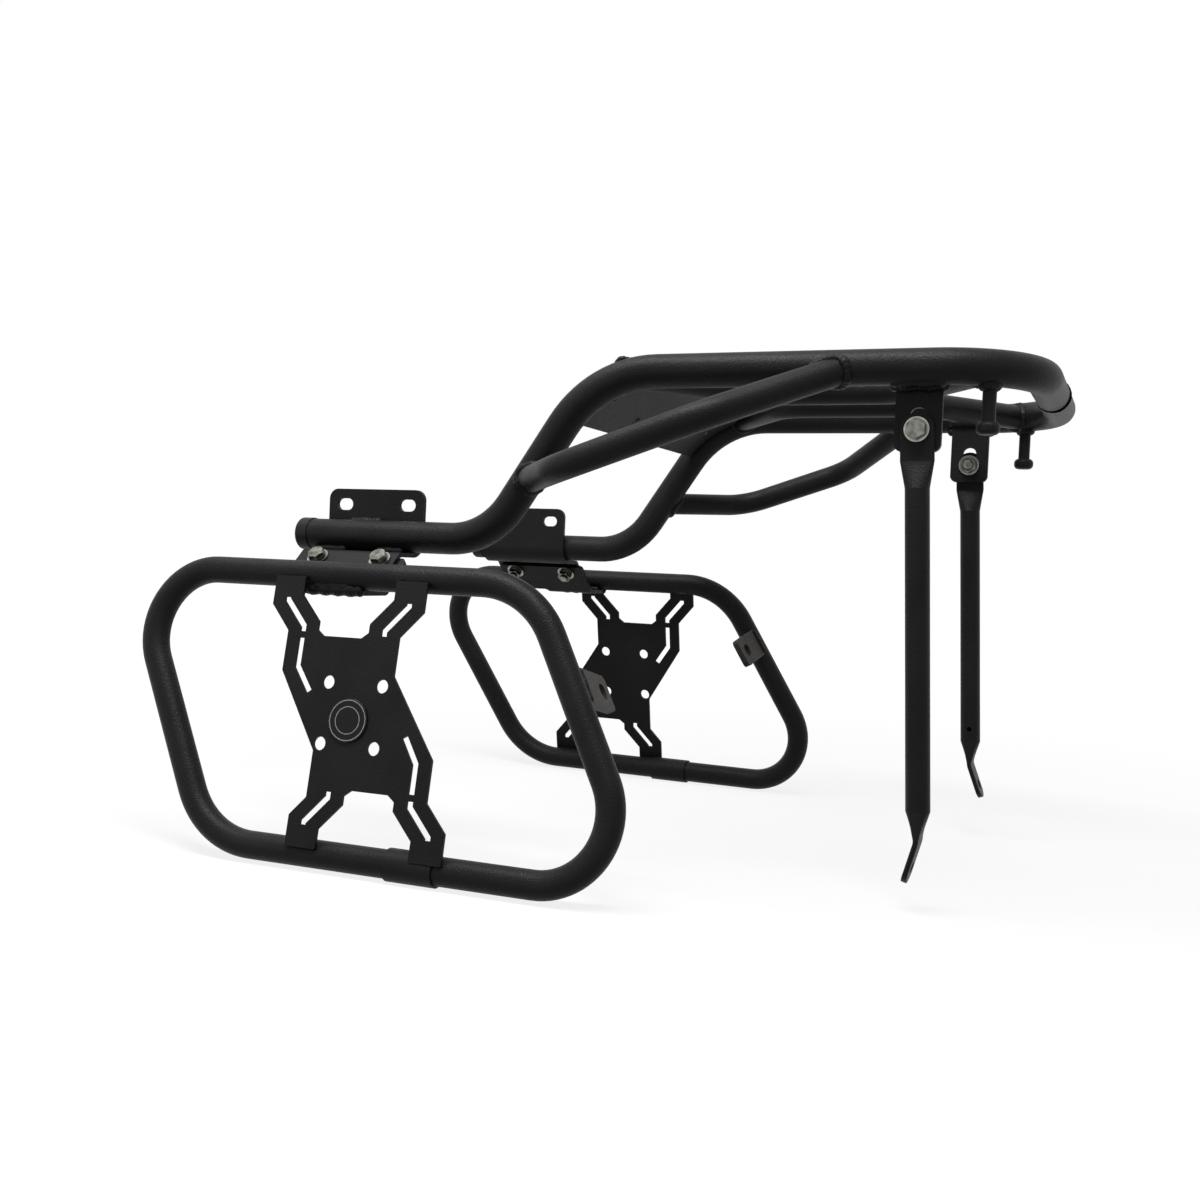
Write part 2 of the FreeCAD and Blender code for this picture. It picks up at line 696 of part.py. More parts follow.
top_half = plate_half(long_arm_u, short_arm_u, 0.0) + waist(low_long_arm_u)
low_half = plate_half(low_long_arm_u, short_arm_u, low_root_extra) + waist(long_arm_u)
outline = top_half + [(-u, -w) for u, w in low_half]
corner_pts = [frame_point(u, w) for u, w in outline + outline[:1]]
blank = Part.Face(Part.makePolygon(corner_pts)).extrude(V(0, 0, plate_thickness))
edges = [e for e in blank.Edges if e.BoundBox.ZLength > plate_thickness - 0.01]
blank = blank.makeFillet(plate_corner_r, edges)
knee_mid = (knee_in + knee_out) / 2
shoulder_mid = (shoulder_in + shoulder_out) / 2
slot_top = arm_end - slot_end_inset
slot_low = shoulder_mid - slot_foot
side_top = slot_low - side_slot_gap
for turn, long_u in ((1, long_arm_u), (-1, low_long_arm_u)):
    long_root = long_u - arm_lean
    short_u = short_arm_u
    short_root = short_u + arm_lean
    side_low = side_top - side_slot_length
    slots = [
        [(long_u, slot_top), (long_u, knee_mid), (long_root, shoulder_mid), (long_root, slot_low)],
        [(long_root, side_top), (long_root, side_low), (side_slot_end_u, side_slot_end_w)],
        [(short_u, slot_top), (short_u, knee_mid), (short_root, shoulder_mid), (short_root, slot_low)],
    ]
    for path in slots:
        pts = [(-turn * u, turn * w) for u, w in path]
        blank = blank.cut(ribbon_cut(pts, plate_slot_width, 2 * plate_thickness))
for du in (-0.5, 0.5):
    for dw in (-0.5, 0.5):
        at = frame_point(plate_hole_u + du * plate_hole_spacing, plate_hole_w + dw * plate_hole_spacing)
        blank = blank.cut(Part.makeCylinder(plate_hole_d / 2, 2 * plate_thickness, at))
seat = math.sqrt((frame_od / 2) ** 2 - arm_lap ** 2) + fit
x_plate = blank.translated(V(0, 0, seat))
save("left_x_plate", on_left(x_plate).cut(left_relief))
right_plate = on_right(x_plate.translated(V(right_plate_shift, 0, 0)))
save("right_x_plate", right_plate.cut(mirrored(left_relief)))

badge_seat = V(0, 0, seat + plate_thickness + fit)
badge = Part.makeCylinder(badge_d / 2, badge_h, frame_point(badge_u, badge_w) + badge_seat)
badge = badge.makeFillet(badge_round, [badge.Edges[0]])
save("round_badge", on_left(badge))

# Frame lugs on the inner side of the rear uprights
upright = frame_point(frame_half_shear, h).normalize()
lug_rear = V(0, 0, 1).cross(upright) * -1
lug_blank = Part.makeBox(lug_height, lug_thickness, lug_reach, V(-lug_height / 2, -lug_thickness / 2, 0))
inner_edges = [e for e in lug_blank.Edges if e.BoundBox.ZMin > lug_reach - 0.01 and e.BoundBox.YLength > 1]
lug_blank = lug_blank.makeFillet(lug_corner_r, inner_edges)
lug_hole_start = V(0, -lug_thickness, lug_hole_reach)
lug_blank = lug_blank.cut(Part.makeCylinder(lug_hole_d / 2, 2 * lug_thickness, lug_hole_start, V(0, 1, 0)))


def frame_lug(w):
    """Lug at height w on the left rear upright, cut to the tube."""
    root = frame_point(-frame_half_length + frame_half_shear * w / h, w)
    lug = on_left(placed(lug_blank, root + lug_rear * lug_offset, upright, V(0, 0, -1)))
    return biggest(lug.cut(frame_bar))


save("left_frame_lug", frame_lug(left_lug_w))
save("right_frame_lug", mirrored(frame_lug(right_lug_w)))

# Frame tabs: bolted under the flange, bent out again to a foot under the top tube of the side frame
ftab_y = ftab_rear_y + ftab_width / 2
ftab_bolt = bolt_foot - flange_normal * (bracket_thickness + fit) + V(0, ftab_y - flange_bolt_y, 0)
foot_z = frame_top_z - frame_od / 2 - fit - bracket_thickness / 2
ftab_run = (ftab_bolt.z - foot_z) / math.sin(slope)
ftab_path = [
    ftab_bolt - flange_dir * ftab_edge,
    ftab_bolt + flange_dir * ftab_run,
    V(-frame_top_half - foot_overhang, ftab_y, foot_z),
]
ftab = strip(ftab_path, [ftab_bend_r], V(0, 1, 0), ftab_width, bracket_thickness)
trim_length = 2 * (frame_spread - shelf_overhang)
trim_width = ftab_width - foot_width
trim = Part.makeBox(trim_length, 2 * trim_width, trim_length, V(0, -2 * trim_width, -2 * bracket_thickness))
trim_edges = [e for e in trim.Edges if e.BoundBox.XMax < 1e-6 and e.BoundBox.YMin > -1e-6]
trim = trim.makeFillet(ftab_corner_r, trim_edges)
trim_at = ftab_path[1] - flange_dir * foot_setback + V(0, foot_width - ftab_width / 2, 0)
ftab = ftab.cut(placed(trim, trim_at, flange_dir, flange_normal))
thick_edges = [e for e in ftab.Edges if abs(e.Length - bracket_thickness) < 0.01]
ftab_rounds = [e for e in thick_edges if e.BoundBox.YLength < 0.01]
ftab = ftab.makeFillet(ftab_corner_r, ftab_rounds)
for at in bolt_points:
    ftab = ftab.cut(placed(flange_hole, at, V(0, 1, 0), flange_normal))
save("left_frame_tab", ftab)
save("right_frame_tab", mirrored(ftab))

# Frame bolts, from above through washer, flange and tab
stack = 2 * bracket_thickness + fit
bolts = []
nuts = []
washers = []
for point in bolt_points:
    top = point + flange_normal * (bracket_thickness / 2 + fit)
    below = top - flange_normal * (stack + washer_h + 2 * fit)
    head = top + flange_normal * (washer_h + fit)
    washers.append(placed(washer(), top, V(0, 1, 0), flange_normal))
    washers.append(placed(washer(), below, V(0, 1, 0), flange_normal))
    bolts.append(placed(bolt(stack + 2 * washer_h), head, V(0, 1, 0), flange_normal))
    nuts.append(placed(nut(), below - flange_normal * fit, V(0, 1, 0), flange_normal))
save("frame_bolts", group(bolts + [mirrored(b) for b in bolts]))
save("frame_nuts", group(nuts + [mirrored(n) for n in nuts]))
save("frame_washers", group(washers + [mirrored(w) for w in washers]))
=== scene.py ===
# %% [markdown]
# # A luggage carrier, dressed for its portrait
# The carrier is welded from bent steel tube, coated black and bolted to a motorbike. Its exact
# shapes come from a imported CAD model. Blender adds what the welder, the coating booth and the
# plating bath leave behind: weld beads, grit in the coat, bright zinc and two printed rings.

import bpy
import numpy as np
from mathutils import Matrix, Vector


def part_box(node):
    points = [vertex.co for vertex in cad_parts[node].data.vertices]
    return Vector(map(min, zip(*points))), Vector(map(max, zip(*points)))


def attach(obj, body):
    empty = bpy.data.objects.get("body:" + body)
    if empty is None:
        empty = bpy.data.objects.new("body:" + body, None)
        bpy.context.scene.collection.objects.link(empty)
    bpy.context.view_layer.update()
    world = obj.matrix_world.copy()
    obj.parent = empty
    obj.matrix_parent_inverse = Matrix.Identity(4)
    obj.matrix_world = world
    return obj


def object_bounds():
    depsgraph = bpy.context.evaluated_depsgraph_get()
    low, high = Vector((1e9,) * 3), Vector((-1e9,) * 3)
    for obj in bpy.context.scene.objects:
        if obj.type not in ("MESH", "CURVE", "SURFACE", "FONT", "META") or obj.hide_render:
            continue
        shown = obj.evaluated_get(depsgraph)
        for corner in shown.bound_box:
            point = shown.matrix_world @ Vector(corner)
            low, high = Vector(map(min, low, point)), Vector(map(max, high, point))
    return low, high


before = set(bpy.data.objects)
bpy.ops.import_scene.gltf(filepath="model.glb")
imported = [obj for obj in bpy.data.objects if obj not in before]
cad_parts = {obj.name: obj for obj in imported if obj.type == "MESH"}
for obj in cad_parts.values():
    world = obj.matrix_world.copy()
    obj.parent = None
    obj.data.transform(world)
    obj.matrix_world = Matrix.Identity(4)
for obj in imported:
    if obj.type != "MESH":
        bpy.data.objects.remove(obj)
cad_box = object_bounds()
cad_size = [round(1000 * (b - a)) for a, b in zip(*cad_box)]
print("carrier of", len(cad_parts), "nodes,", cad_size, "mm")

# %% [markdown]
# ## Colour and nodes
# Screen colours are written as hex values. The renderer works with linear light, so one function
# turns the first into the second. One more function adds any shader node, which keeps each finish
# below down to a readable list.

# %% Colour and node helpers
def linear(hex_colour):
    """A channel c becomes c / 12.92 up to 0.04045, and above it ((c + 0.055) / 1.055) ^ 2.4."""
    c = np.array([int(hex_colour[i:i + 2], 16) for i in (1, 3, 5)]) / 255
    c = np.where(c <= 0.04045, c / 12.92, ((c + 0.055) / 1.055) ** 2.4)
    return (*c.tolist(), 1.0)


def add(tree, kind, inputs=None, **settings):
    """Adds a node, sets its properties, and fills each input with a value or with a link."""
    made = tree.nodes.new("ShaderNode" + kind)
    for name, value in settings.items():
        setattr(made, name, value)
    for name, value in (inputs or {}).items():
        if isinstance(value, bpy.types.NodeSocket):
            tree.links.new(value, made.inputs[name])
        else:
            made.inputs[name].default_value = value
    return made


def per_metre(size_mm):
    """A noise of scale n has features about 1 / n metres wide."""
    return 1000.0 / size_mm


def new_material(name):
    """An empty node tree with Object coordinates and an output."""
    material = bpy.data.materials.new(name)
    material.use_nodes = True
    tree = material.node_tree
    tree.nodes.clear()
    place = add(tree, "TexCoord").outputs["Object"]
    out = add(tree, "OutputMaterial")
    return material, tree, place, out


print("middle grey in linear light:", round(linear("#808080")[0], 4))

# %% [markdown]
# ## Powder coat
# Dry polyester powder is blown on and baked, and it sets as a fine orange-peel grit. The colour
# is a near black, but the grit spreads each light into a soft grey band along the tubes. A smooth
# glossy black would look like wet paint, so the grit is real bump and the roughness wanders a
# little with it. The small lugs inside the side frames caught less powder, and theirs is paler
# and browner.

# %% Powder coat
COAT_GRIT = 1.3     # the real grit is about 0.3 mm, drawn coarser so that it shows
COAT_CLOUD = 45.0   # the spray gun's passes leave slightly thicker and thinner patches
COAT_GLOSS = 0.1    # a matt coat reflects about a fifth of what smooth plastic does


def powder_coat(name, thin, thick, rough_low, rough_high):
    """Baked grit: fine noise drives bump and roughness, broad noise mixes two near blacks."""
    material, tree, place, out = new_material(name)
    grit = add(tree, "TexNoise", {"Vector": place, "Scale": per_metre(COAT_GRIT), "Detail": 2.0})
    cloud = add(tree, "TexNoise", {"Vector": place, "Scale": per_metre(COAT_CLOUD), "Detail": 3.0})
    colour = add(tree, "ValToRGB", {"Fac": cloud.outputs["Fac"]})
    for stop, position, tone in zip(colour.color_ramp.elements, (0.35, 0.65), (thin, thick)):
        stop.position, stop.color = position, linear(tone)
    rough = add(tree, "MapRange", {"Value": grit.outputs["Fac"], "From Min": 0.3, "From Max": 0.7,
                                   "To Min": rough_low, "To Max": rough_high})
    bump = add(tree, "Bump", {"Height": grit.outputs["Fac"], "Strength": 0.6, "Distance": 0.0007})
    skin = add(tree, "BsdfPrincipled", {
        "Base Color": colour.outputs["Color"], "Roughness": rough.outputs["Result"],
        "Normal": bump.outputs["Normal"], "IOR": 1.5, "Specular IOR Level": COAT_GLOSS})
    tree.links.new(skin.outputs["BSDF"], out.inputs["Surface"])
    return material


coat_black = powder_coat("black_polyester_powder_coat", "#131314", "#1a1a1b", 0.37, 0.51)
coat_thin = powder_coat("thin_coat_over_bare_steel", "#2d2b29", "#393633", 0.42, 0.6)
print("powder coats:", coat_black.name, "and", coat_thin.name)

# %% [markdown]
# ## Zinc plating
# Bolts, nuts and washers are barrel plated: a thin zinc layer, tumbled with hundreds of others.
# It is a true metal, slightly clouded, with a satin reflection and tiny dents from the tumbling.
# Washers are stamped from sheet, and bolts and nuts are forged. The washers' paler zinc is painted
# light and the darker zinc of the bolts and nuts is painted shade, so one function makes both.

# %% Zinc plating
ZINC_CLOUD = 5.0    # patches of passivation
ZINC_DENT = 1.1     # tumbling marks, really about half as wide
CREASE_SHADE_REACH = 0.003       # creases up to this many metres wide get painted shade


def plated(name, dull, bright, rough_low, rough_high):
    """Metal whose cloudy noise mixes two greys and two roughnesses, over a fine dented bump.
    Creases narrower than the given reach get painted shade: the colour is scaled by the square of
    the open sky that a point sees."""
    material, tree, place, out = new_material(name)
    cloud = add(tree, "TexNoise", {"Vector": place, "Scale": per_metre(ZINC_CLOUD), "Detail": 3.0})
    dents = add(tree, "TexNoise", {"Vector": place, "Scale": per_metre(ZINC_DENT), "Detail": 1.0})
    colour = add(tree, "ValToRGB", {"Fac": cloud.outputs["Fac"]})
    for stop, position, tone in zip(colour.color_ramp.elements, (0.3, 0.7), (dull, bright)):
        stop.position, stop.color = position, linear(tone)
    rough = add(tree, "MapRange", {"Value": cloud.outputs["Fac"],
                                   "To Min": rough_low, "To Max": rough_high})
    bump = add(tree, "Bump", {"Height": dents.outputs["Fac"], "Strength": 0.12, "Distance": 0.0002})
    # Painted shade: the zinc's colour goes darker in creases, where less sky is seen.
    open_sky = add(tree, "AmbientOcclusion", {"Color": colour.outputs["Color"], "Distance": CREASE_SHADE_REACH})
    dark = add(tree, "VectorMath", {0: open_sky.outputs["Color"], "Scale": open_sky.outputs["AO"]},
               operation="SCALE")
    skin = add(tree, "BsdfPrincipled", {
        "Base Color": dark.outputs["Vector"], "Roughness": rough.outputs["Result"],
        "Normal": bump.outputs["Normal"], "Metallic": 1.0})
    tree.links.new(skin.outputs["BSDF"], out.inputs["Surface"])
    return material


# Lit and shaded copies of one zinc: the darker grey on bolts and nuts is painted shade, the paler
# grey on washers is painted light.
zinc_painted_shade = plated("barrel_plated_zinc_painted_shade", "#55574f", "#8b8b84", 0.2, 0.34)
zinc_painted_light = plated("barrel_plated_zinc_painted_light", "#8e8f89", "#b9b9b2", 0.16, 0.3)
print("zinc:", zinc_painted_shade.name, "and", zinc_painted_light.name)

# %% [markdown]
# ## Moulded plastic
# The plugs in the tube ends are injection-moulded polyethylene. The mould was spark eroded, so
# the plastic has a fine even grain and a waxy sheen that is a little softer than the coat beside
# it.

# %% Moulded plastic
MOULD_GRAIN = 0.9   # the erosion grain is about 0.1 mm, drawn coarser so that it shows

plug_plastic, tree, place, out = new_material("moulded_black_polyethylene")
grain = add(tree, "TexNoise", {"Vector": place, "Scale": per_metre(MOULD_GRAIN), "Detail": 1.0})
colour = add(tree, "ValToRGB", {"Fac": grain.outputs["Fac"]})
for stop, tone in zip(colour.color_ramp.elements, ("#151516", "#1c1c1d")):
    stop.color = linear(tone)
bump = add(tree, "Bump", {"Height": grain.outputs["Fac"], "Strength": 0.15, "Distance": 0.0001})
skin = add(tree, "BsdfPrincipled", {
    "Base Color": colour.outputs["Color"], "Roughness": 0.42, "IOR": 1.51,
    "Specular IOR Level": 0.12, "Normal": bump.outputs["Normal"]})
tree.links.new(skin.outputs["BSDF"], out.inputs["Surface"])
print("plastic:", plug_plastic.name)

# %% [markdown]
# ## Painted shade at the hoop joint
# At the middle of the hoop the far half stands a little proud, and its edge lies in shade. The
# shade is painted:
# the edge gets a near-black matt colour with no gloss at all.

# %% Painted shade edge
# Painted shade: a near-black matt colour for the shaded edge at the hoop joint.
painted_shade_edge, tree, place, out = new_material("painted_shade_black_edge")
shade_black = add(tree, "BsdfDiffuse", {"Color": linear("#050505"), "Roughness": 1.0})
tree.links.new(shade_black.outputs["BSDF"], out.inputs["Surface"])
print("edge:", painted_shade_edge.name)

# %% [markdown]
# ## Lacquered disc
# The plain disc on the near plate is printed sheet under clear lacquer: a dark field with two
# fine grey rings. The rings are worked out from the distance to the disc's own centre, so a
# Mapping node moves the pattern there first.

# %% Lacquered disc
disc_low, disc_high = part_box("round_badge")
disc_centre = (disc_low + disc_high) / 2
DISC_REACH = 0.02   # the ramp runs from the centre to here, in metres
RINGS = [(0.0102, 0.0108), (0.0152, 0.0159)]    # where each grey ring starts and ends
FIELD, PRINT = "#0b0b0c", "#8e8f90"

disc_lacquer, tree, place, out = new_material("lacquered_printed_disc")
centred = add(tree, "Mapping", {"Vector": place, "Location": tuple(-disc_centre)})
reach = add(tree, "VectorMath", {0: centred.outputs["Vector"]}, operation="LENGTH")
share = add(tree, "MapRange", {"Value": reach.outputs["Value"], "From Max": DISC_REACH})
rings = add(tree, "ValToRGB", {"Fac": share.outputs["Result"]})
rings.color_ramp.interpolation = "CONSTANT"
rings.color_ramp.elements.remove(rings.color_ramp.elements[1])
rings.color_ramp.elements[0].color = linear(FIELD)
for start, end in RINGS:
    rings.color_ramp.elements.new(start / DISC_REACH).color = linear(PRINT)
    rings.color_ramp.elements.new(end / DISC_REACH).color = linear(FIELD)
skin = add(tree, "BsdfPrincipled", {
    "Base Color": rings.outputs["Color"], "Roughness": 0.35, "Specular IOR Level": 0.12,
    "Coat Weight": 0.1, "Coat Roughness": 0.12})
tree.links.new(skin.outputs["BSDF"], out.inputs["Surface"])
print("disc at", [round(1000 * v) for v in disc_centre], "mm")

# %% [markdown]
# ## Finish every CAD node
# Everything welded goes through the coating booth together, so one coat covers it. Hardware,
# plugs and the disc are fitted afterwards and keep their own finish.

# %% Finish every CAD node
for name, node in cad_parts.items():
    finish = coat_black
    if name.endswith("washers"):
        finish = zinc_painted_light
    elif name.endswith(("bolts", "nuts")):
        finish = zinc_painted_shade
    elif name.endswith("end_plug"):
        finish = plug_plastic
    elif name.endswith("frame_lug"):
        finish = coat_thin
    elif name == "round_badge":
        finish = disc_lacquer
    node.data.materials.clear()
    node.data.materials.append(finish)
print("finished", len(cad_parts), "nodes")

# %% [markdown]
# ## Where the tubes run
# A weld follows the line where two skins meet, so the tubes' centrelines are needed first. Each
# tube is described as the bender's sheet does it: corner points in millimetres and one radius for
# each bend. The arc starts r tan(turn / 2) before its corner.

# %% Tube centrelines
MM = 0.001
RAIL_R, BRANCH_R, STUD_R = 13.45 * MM, 11.0 * MM, 5.0 * MM
ARC_POINTS = 33
RACK_Z = 398.0      # height of the rack's centrelines, in millimetres


def unit(v):
    """Vectors of length one along the last axis."""
    v = np.asarray(v, float)
    return v / np.linalg.norm(v, axis=-1, keepdims=True)


def bent_route(corners, radii):
    """Runs and arcs: an arc point is start + r (sin w * run + (1 - cos w) * side), for w from 0
    to the turn."""
    corners = np.asarray(corners, float)
    parts = [corners[:1]]
    for before, corner, after, radius in zip(corners, corners[1:], corners[2:], radii):
        run, leave = unit(corner - before), unit(after - corner)
        turn = np.arccos(run @ leave)
        side = unit(leave - run * (run @ leave))
        w = np.linspace(0.0, turn, ARC_POINTS)[:, None]
        start = corner - run * radius * np.tan(turn / 2)
        parts.append(start + radius * (np.sin(w) * run + (1 - np.cos(w)) * side))
    return np.vstack(parts + [corners[-1:]]) * MM


rail = bent_route([(-160, 258.5, 261), (-160, 84.4, 261), (-160, -7, RACK_Z),
                   (-157, -341.5, RACK_Z), (0, -341.5, RACK_Z)], [68, 95, 72])
rail_length = np.linalg.norm(np.diff(rail, axis=0), axis=1).sum()
print("left rail:", len(rail), "points,", round(rail_length, 3), "m")

# %% [markdown]
# ## Weld beads
# The joints are welded before coating. A bead is a row of small puddles that froze one after
# another: its skin has crescent ripples and its ends are rounded. Bump alone would vanish along
# the outline, so a bead is geometry, a round section carried along the seam with the ripples in
# its radius. It is half buried in both pieces, as the melt is.

# %% One bead
RIPPLE = 3.4 * MM   # from one frozen puddle to the next
SCALE = 0.36 * MM   # how high a puddle's edge can stand
LUMP = 13.0 * MM    # the welder's hand wanders about this often
AROUND = 14         # points round the section
STEPS = 5           # sections to each ripple
BODY, SWAY = 0.92, 0.09     # shares of the radius: its mean, and how far a lump changes it
THIN = 0.13         # on a thin bead, a ripple stands no more than this share of the radius
LAG = 0.45          # shares of a pitch by which a ripple trails at the side of the bead
RISE = 0.6          # below 1, a ripple rises faster than it falls
CROWN = 0.85        # the section's height over its width
TIP = 0.02          # keeps the last section open, at a fifth of the radius


def bead(path, out, radius, closed=False):
    """At arc length s and angle a the radius is r (BODY + SWAY lump) plus a ripple of at most
    SCALE. The ripple lags by LAG (1 - cos a) of its pitch down the flanks, which bends it to a
    crescent. The lump is a sine with a whole number of waves. Open ends close like half a ball."""
    path = np.asarray(path, float)
    out = np.broadcast_to(np.asarray(out, float), path.shape)
    if closed:
        path, out = np.vstack([path, path[:1]]), np.vstack([out, out[:1]])
    reach = np.concatenate([[0.0], np.cumsum(np.linalg.norm(np.diff(path, axis=0), axis=1))])
    length = reach[-1]
    ripples = max(2, round(length / RIPPLE))
    s = np.linspace(0.0, length, STEPS * ripples + 1)[:-1 if closed else None]
    centre, n = (np.stack([np.interp(s, reach, c) for c in v.T], axis=1) for v in (path, out))
    if closed:
        t = unit(np.roll(centre, -1, 0) - np.roll(centre, 1, 0))
    else:
        t = unit(np.gradient(centre, axis=0))
    n = unit(n - t * (n * t).sum(1, keepdims=True))
    b = np.cross(t, n)
    a = np.linspace(0.0, 2 * np.pi, AROUND, endpoint=False)
    phase = (s[:, None] * ripples / length + LAG * (1 - np.cos(a))) % 1.0
    lump = np.sin(2 * np.pi * max(1, round(length / LUMP)) * s / length + 1.0)[:, None]
    ripple = min(SCALE, THIN * radius) * (0.5 - 0.5 * np.cos(2 * np.pi * phase ** RISE))
    r = radius * (BODY + SWAY * lump) + ripple
    if not closed:
        near = np.clip(np.minimum(s, length - s) / radius, TIP, 1.0)
        r = r * np.sqrt(1 - (1 - near) ** 2)[:, None]
    ring = CROWN * np.cos(a)[:, None] * n[:, None] + np.sin(a)[:, None] * b[:, None]
    points = (centre[:, None] + r[..., None] * ring).reshape(-1, 3)
    i, j = np.meshgrid(np.arange(len(s) - (not closed)), np.arange(AROUND), indexing="ij")
    i2, j2 = (i + 1) % len(s), (j + 1) % AROUND
    quads = np.stack([i * AROUND + j, i * AROUND + j2, i2 * AROUND + j2, i2 * AROUND + j], -1)
    faces = quads.reshape(-1, 4).tolist()
    if not closed:
        last = (len(s) - 1) * AROUND
        faces += [list(range(AROUND))[::-1], list(range(last, last + AROUND))]
    return points, faces


def weld(name, beads, mirror=False, finish=coat_black):
    """One object from several beads. A mirror image has the sign of x changed and every face
    turned round."""
    points, faces, first = [], [], 0
    for p, f in beads:
        points.append(p * (-1, 1, 1) if mirror else p)
        faces += [[first + v for v in (face[::-1] if mirror else face)] for face in f]
        first += len(p)
    mesh = bpy.data.meshes.new(name)
    mesh.from_pydata(np.vstack(points).tolist(), [], faces)
    mesh.polygons.foreach_set("use_smooth", np.ones(len(mesh.polygons), bool))
    mesh.materials.append(finish)
    piece = bpy.data.objects.new(name, mesh)
    bpy.context.scene.collection.objects.link(piece)
    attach(piece, "root")


print("a ripple every", RIPPLE / MM, "mm")

# %% [markdown]
# ## Saddle welds
# Where a rail ends on another rail, the bead runs all round on a saddle curve. There is a formula
# for two straight tubes, but the runs here bend near the joint. So each line along the branch's
# skin is halved again and again until its distance to the other centreline is that tube's radius.

# %% Saddle welds
SEAM_POINTS = 96
HALVINGS = 24       # five rail radii, halved this often, are a few nanometres
ASKEW = (0.3, 0.5, 0.8)     # any direction that no branch takes


def nearest(points, route):
    """The nearest place on a polyline, from each point's projection on every segment."""
    start, step = route[:-1], np.diff(route, axis=0)
    rel = points[:, None] - start
    share = np.clip((rel * step).sum(-1) / (step * step).sum(-1), 0.0, 1.0)
    spots = start + share[..., None] * step
    best = np.linalg.norm(points[:, None] - spots, axis=-1).argmin(1)
    return spots[np.arange(len(points)), best]


def saddle(foot, towards, branch_r, bead_r):
    """Closed bead where a branch of branch_r, from foot on the rail's axis, leaves its skin."""
    foot, towards = np.array(foot) * MM, np.array(towards) * MM
    run = unit(towards - foot)
    u = unit(np.cross(run, ASKEW))
    a = np.linspace(0.0, 2 * np.pi, SEAM_POINTS, endpoint=False)[:, None]
    ring = np.cos(a) * u + np.sin(a) * np.cross(run, u)
    low, high = np.zeros((SEAM_POINTS, 1)), np.full((SEAM_POINTS, 1), 5 * RAIL_R)
    for _ in range(HALVINGS):
        middle = (low + high) / 2
        skin = foot + branch_r * ring + middle * run
        inside = np.linalg.norm(skin - nearest(skin, rail), axis=1, keepdims=True) < RAIL_R
        low, high = np.where(inside, middle, low), np.where(inside, high, middle)
    seam = foot + branch_r * ring + low * run
    return bead(seam, unit(ring + unit(seam - nearest(seam, rail))), bead_r, closed=True)


def deck(y, z):
    """The rail's centreline at y on the rack's level part, hoop bend included, set at height z."""
    level = rail[rail[:, 2] > (RACK_Z - 0.1) * MM]
    return float(np.interp(-y * MM, -level[:, 1], level[:, 0])) / MM, y, z


stud_foot = deck(-309, RACK_Z)
stud_head = (*stud_foot[:2], 300)
saddles = {
    "grab_rail": [saddle((-160, 51.0, 311), (-240, -14, 315.5), BRANCH_R, 3.7 * MM),
                  saddle(deck(-208, RACK_Z), (-240, -122.5, 353), BRANCH_R, 3.7 * MM)],
    "inner_rail": [saddle(deck(-28, 397), (-43, -108, 397), BRANCH_R, 3.2 * MM),
                   saddle(deck(-307, 397), (-43, -232, 397), BRANCH_R, 3.2 * MM)],
    "stud": [saddle(stud_foot, stud_head, STUD_R, 4.0 * MM)],
}
for part, beads in saddles.items():
    for side in ("left", "right"):
        weld(f"{side}_{part}_welds", beads, mirror=side == "right")
print("saddle welds on", ", ".join(saddles))

# %% [markdown]
# ## Straight stitches
# Plates are stitched to the tubes with short straight beads. Each needs its two ends, the
# direction that looks out of the corner it fills, and its radius. The hoop's halves do not quite
# line up: a lip, set off-centre, shows where the far half stands proud, and its black is painted
# shade.

# %% Straight stitches
def stitch(start, end, out, radius):
    """A bead between two points in millimetres, with a point every half millimetre."""
    start, end = np.array(start, float), np.array(end, float)
    share = np.linspace(0.0, 1.0, 2 * int(np.linalg.norm(end - start)) + 2)[:, None]
    return bead((start + share * (end - start)) * MM, out, radius * MM)


def along_y(x, z, y0, y1, out, radius):
    """A stitch from y0 to y1, parallel to the rails; out is given across them as (x, z)."""
    return stitch((x, y0, z), (x, y1, z), (out[0], 0.0, out[1]), radius)


stitches = {
    "rod_tab": [along_y(-151.6, 384.9, -282, -238, (-0.46, -0.89), 5.2),
                along_y(-158.9, 387.0, -281, -239, (-0.25, -0.97), 5.6),
                along_y(-144.3, 392.4, -280, -240, (0.99, -0.17), 3.8)],
    "bracket": [along_y(-168.4, 249.0, 219, 250, (-0.95, 0.31), 3.4),
                along_y(-168.4, 249.0, 162, 188, (-0.95, 0.31), 3.4),
                along_y(-149.6, 273.6, 196, 228, (-0.36, 0.93), 4.2),
                along_y(-148.8, 271.6, 160, 172, (-0.36, 0.93), 3.0)],
    "foot": [along_y(-246.5, 215.4, 148, 207, (-0.85, -0.53), 5.2),
             along_y(-248.0, 218.4, 160, 201, (-0.95, -0.3), 3.6),
             along_y(-233.9, 216.8, 152, 199, (0.95, 0.3), 2.8)],
}
for side in ("left", "right"):
    for part, beads in stitches.items():
        weld(f"{side}_{part}_welds", beads, mirror=side == "right")

BEND_Y, BEND_Z, BEND_R = -57.8, 303.0, 97.2     # centre of the riser head's bend, and the arc
BACK_X, BACK_BEAD = -146.0, 2.2     # where the backrest plate meets the rail, and a bead's radius
ARC_STITCHES = ((6, 18), (24, 36), (42, 52))    # degrees from the top of the bend
back_beads = []
for first, last in ARC_STITCHES:
    w = np.radians(np.linspace(first, last, 40))
    sine, cosine, ones = np.sin(w), np.cos(w), np.ones_like(w)
    arc = np.stack([BACK_X * ones, BEND_Y + BEND_R * sine, BEND_Z + BEND_R * cosine], axis=1)
    back_beads.append(bead(arc * MM, np.stack([ones, sine, cosine], axis=1), BACK_BEAD * MM))
for side in ("left", "right"):
    weld(f"{side}_backrest_welds", back_beads, mirror=side == "right")

